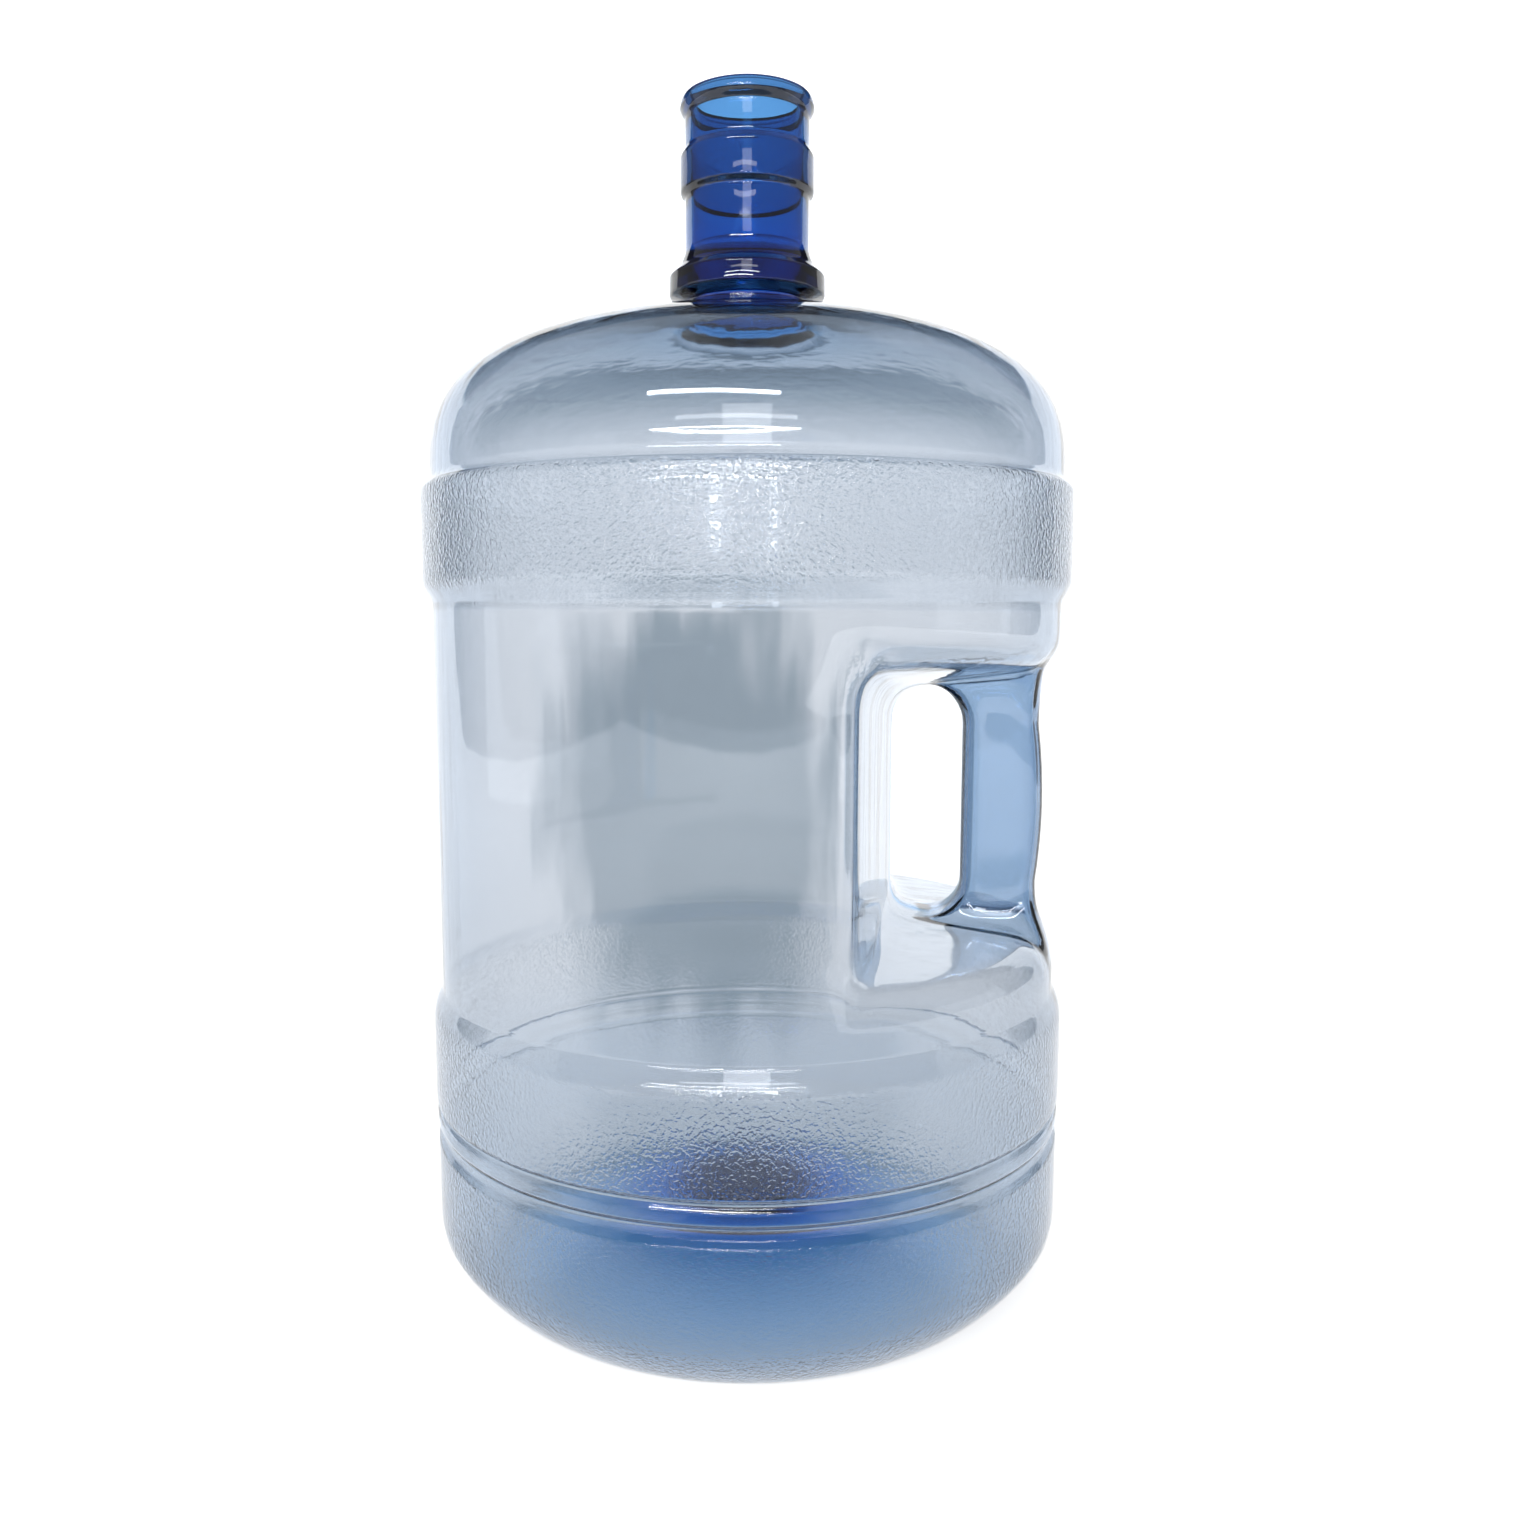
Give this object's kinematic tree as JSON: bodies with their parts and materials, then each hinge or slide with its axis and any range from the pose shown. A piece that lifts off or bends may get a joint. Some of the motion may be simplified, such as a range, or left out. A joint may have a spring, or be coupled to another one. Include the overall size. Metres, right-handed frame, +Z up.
{
  "type": "water cooler jug",
  "caption": "Clear blow-moulded jug for a water cooler, with a long open neck, a domed shoulder, textured rolling bands and a hollow hand grip set into the side.",
  "frame": {"origin": "on the floor, at the middle of the standing ring", "axes": "+Z up along the jug's axis towards the mouth, +X towards the hand grip"},
  "size_m": [0.27, 0.27, 0.49],
  "materials": {
    "clear_wall": "clear glossy polycarbonate, pale blue-grey",
    "textured_wall": "clear polycarbonate with a moulded pebble texture",
    "neck_wall": "clear glossy polycarbonate, deep blue where the wall is thick",
    "grip_wall": "clear glossy polycarbonate, mid blue"
  },
  "bodies": {
    "root": {"mouth_lip": "neck_wall", "neck": "neck_wall", "support_ring": "neck_wall", "shoulder_dome": "clear_wall", "upper_band": "textured_wall", "barrel": "clear_wall", "grip": "grip_wall", "lower_band": "textured_wall", "foot_band": "textured_wall", "base": "textured_wall"}
  },
  "joints": []
}
